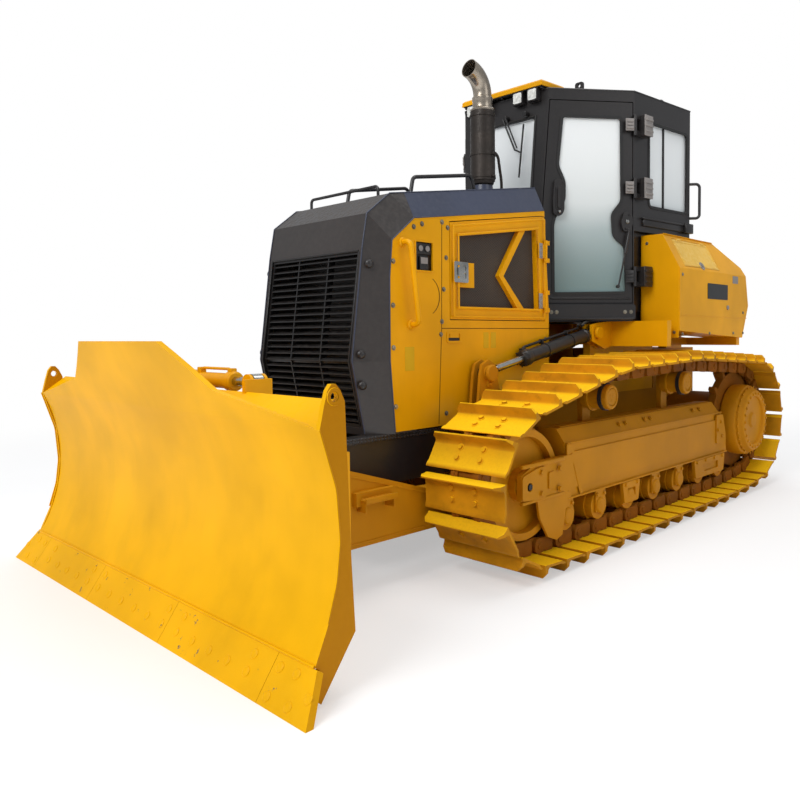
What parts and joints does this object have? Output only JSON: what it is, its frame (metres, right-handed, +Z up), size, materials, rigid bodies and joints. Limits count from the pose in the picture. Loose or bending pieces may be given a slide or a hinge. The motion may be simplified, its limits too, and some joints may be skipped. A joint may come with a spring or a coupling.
{
  "type": "crawler bulldozer",
  "caption": "Crawler bulldozer with an enclosed cab, a curved blade on a push frame that lifts, angles and tilts, and endless steel tracks.",
  "frame": {"origin": "centre of the machine's bounding box on the ground", "axes": "+Z up, -Y the front where the blade is, +X the machine's left"},
  "size_m": [2.977, 5.549, 3.1557],
  "materials": {
    "body_yellow": "semi-gloss paint, light dust",
    "track_yellow": "matt paint, worn and dusty",
    "dark_grey": "satin paint",
    "black": "satin paint",
    "rod_chrome": "polished rod, cast eye",
    "glass": "clear, lightly tinted",
    "seat_cloth": "woven"
  },
  "bodies": {
    "chassis": {"roof_visor": "body_yellow", "rear_tank": "body_yellow", "platforms": "body_yellow", "side_panels": "body_yellow", "side_boxes": "body_yellow", "main_frame": "track_yellow", "drawbar": "track_yellow", "track_frames": "track_yellow", "idlers": "track_yellow", "track_rollers": "track_yellow", "carrier_rollers": "track_yellow", "sprockets": "track_yellow", "final_drives": "track_yellow", "roller_guards": "track_yellow", "track_l": "track_yellow", "track_r": "track_yellow", "radiator_guard": "dark_grey", "hood_top": "dark_grey", "engine_block": "dark_grey", "nose_frame": "black", "front_grille": "black", "radiator_core": "black", "silencer": "black", "handrails": "black", "cab_frame": "black", "cab_roof": "black", "work_lights": "black", "cab_floor": "black", "cab_console": "black", "exhaust_stack": "rod_chrome", "cab_glass": "glass", "operator_seat": "seat_cloth"},
    "push_frame": {"c_frame": "track_yellow"},
    "yoke": {"blade_yoke": "body_yellow"},
    "blade": {"blade_board": "body_yellow", "blade_ribs": "body_yellow", "blade_pivot": "body_yellow", "tilt_bracket": "body_yellow", "cutting_edge": "body_yellow"},
    "tilt_cylinder": {"tilt_barrel": "body_yellow"},
    "tilt_cylinder_rod": {"tilt_rod": "rod_chrome"},
    "engine_door_l": {"engine_door_l": "body_yellow", "door_mesh_l": "black"},
    "cab_door_l": {"cab_door_l": "black", "door_glass_l": "glass"},
    "box_lid_l": {"box_lid_l": "body_yellow"},
    "lift_cylinder_l": {"lift_barrel_l": "black"},
    "lift_cylinder_rod_l": {"lift_rod_l": "rod_chrome"},
    "angle_cylinder_l": {"angle_barrel_l": "black"},
    "angle_cylinder_rod_l": {"angle_rod_l": "rod_chrome"},
    "engine_door_r": {"engine_door_r": "body_yellow", "door_mesh_r": "black"},
    "cab_door_r": {"cab_door_r": "black", "door_glass_r": "glass"},
    "box_lid_r": {"box_lid_r": "body_yellow"},
    "lift_cylinder_r": {"lift_barrel_r": "black"},
    "lift_cylinder_rod_r": {"lift_rod_r": "rod_chrome"},
    "angle_cylinder_r": {"angle_barrel_r": "black"},
    "angle_cylinder_rod_r": {"angle_rod_r": "rod_chrome"}
  },
  "joints": [
    {"name": "blade_lift", "type": "hinge", "parent": "chassis", "child": "push_frame", "pos_m": [0, 0.3, 0.4], "axis": [-1, 0, 0], "range_deg": [-8, 18]},
    {"name": "blade_angle", "type": "hinge", "parent": "push_frame", "child": "yoke", "pos_m": [0, -2.33, 0.41], "axis": [0, 0, 1], "range_deg": [-25, 25]},
    {"name": "blade_tilt", "type": "hinge", "parent": "yoke", "child": "blade", "pos_m": [0, -2.47, 0.41], "axis": [0, 1, 0], "range_deg": [-7, 7]},
    {"name": "engine_door_l", "type": "hinge", "parent": "chassis", "child": "engine_door_l", "pos_m": [0.532, -0.06, 1.75], "axis": [0, 0, 1], "range_deg": [0, 100]},
    {"name": "cab_door_l", "type": "hinge", "parent": "chassis", "child": "cab_door_l", "pos_m": [0.8252, 0.63514, 2.25], "axis": [0, 0, 1], "range_deg": [0, 120]},
    {"name": "box_lid_l", "type": "hinge", "parent": "chassis", "child": "box_lid_l", "pos_m": [0.9826, 1.2, 2.03221], "axis": [0, -1, 0], "range_deg": [0, 80]},
    {"name": "lift_cylinder_l", "type": "hinge", "parent": "chassis", "child": "lift_cylinder_l", "pos_m": [0.581, 0.45, 1.341], "axis": [-1, 0, 0], "range_deg": [-7, 15]},
    {"name": "lift_rod_l", "type": "slide", "parent": "lift_cylinder_l", "child": "lift_cylinder_rod_l", "axis": [0, -0.9813, -0.1923], "range_m": [-0.3, 0.14]},
    {"name": "angle_cylinder_l", "type": "hinge", "parent": "push_frame", "child": "angle_cylinder_l", "pos_m": [0.06, -2.06, 0.725], "axis": [0, 0, 1], "range_deg": [-25, 25]},
    {"name": "angle_rod_l", "type": "slide", "parent": "angle_cylinder_l", "child": "angle_cylinder_rod_l", "axis": [0.8862, -0.4633, 0], "range_m": [-0.13, 0.13]},
    {"name": "engine_door_r", "type": "hinge", "parent": "chassis", "child": "engine_door_r", "pos_m": [-0.532, -0.06, 1.75], "axis": [0, 0, -1], "range_deg": [0, 100]},
    {"name": "cab_door_r", "type": "hinge", "parent": "chassis", "child": "cab_door_r", "pos_m": [-0.8252, 0.63514, 2.25], "axis": [0, 0, -1], "range_deg": [0, 120]},
    {"name": "box_lid_r", "type": "hinge", "parent": "chassis", "child": "box_lid_r", "pos_m": [-0.9826, 1.2, 2.03221], "axis": [0, 1, 0], "range_deg": [0, 80]},
    {"name": "lift_cylinder_r", "type": "hinge", "parent": "chassis", "child": "lift_cylinder_r", "pos_m": [-0.581, 0.45, 1.341], "axis": [-1, 0, 0], "range_deg": [-7, 15]},
    {"name": "lift_rod_r", "type": "slide", "parent": "lift_cylinder_r", "child": "lift_cylinder_rod_r", "axis": [0, -0.9813, -0.1923], "range_m": [-0.3, 0.14]},
    {"name": "angle_cylinder_r", "type": "hinge", "parent": "push_frame", "child": "angle_cylinder_r", "pos_m": [-0.06, -2.06, 0.725], "axis": [0, 0, 1], "range_deg": [-25, 25]},
    {"name": "angle_rod_r", "type": "slide", "parent": "angle_cylinder_r", "child": "angle_cylinder_rod_r", "axis": [-0.8862, -0.4633, 0], "range_m": [-0.13, 0.13]},
    {"name": "tilt_cylinder", "type": "hinge", "parent": "yoke", "child": "tilt_cylinder", "pos_m": [0.075, -2.41, 1.13], "axis": [0, 1, 0], "range_deg": [-9, 9]},
    {"name": "tilt_rod", "type": "slide", "parent": "tilt_cylinder", "child": "tilt_cylinder_rod", "axis": [1, 0, 0], "range_m": [-0.1, 0.1]}
  ],
  "couplings": [
    {"joint": "lift_cylinder_l", "follows": "blade_lift", "ratio": 0.7705},
    {"joint": "lift_rod_l", "follows": "blade_lift", "m_per_rad": -0.9166},
    {"joint": "angle_cylinder_l", "follows": "blade_angle", "ratio": 0.905},
    {"joint": "angle_rod_l", "follows": "blade_angle", "m_per_rad": -0.2627},
    {"joint": "lift_cylinder_r", "follows": "blade_lift", "ratio": 0.7705},
    {"joint": "lift_rod_r", "follows": "blade_lift", "m_per_rad": -0.9166},
    {"joint": "angle_cylinder_r", "follows": "blade_angle", "ratio": 0.905},
    {"joint": "angle_rod_r", "follows": "blade_angle", "m_per_rad": 0.2627},
    {"joint": "tilt_cylinder", "follows": "blade_tilt", "ratio": 1.1325},
    {"joint": "tilt_rod", "follows": "blade_tilt", "m_per_rad": 0.7174}
  ]
}
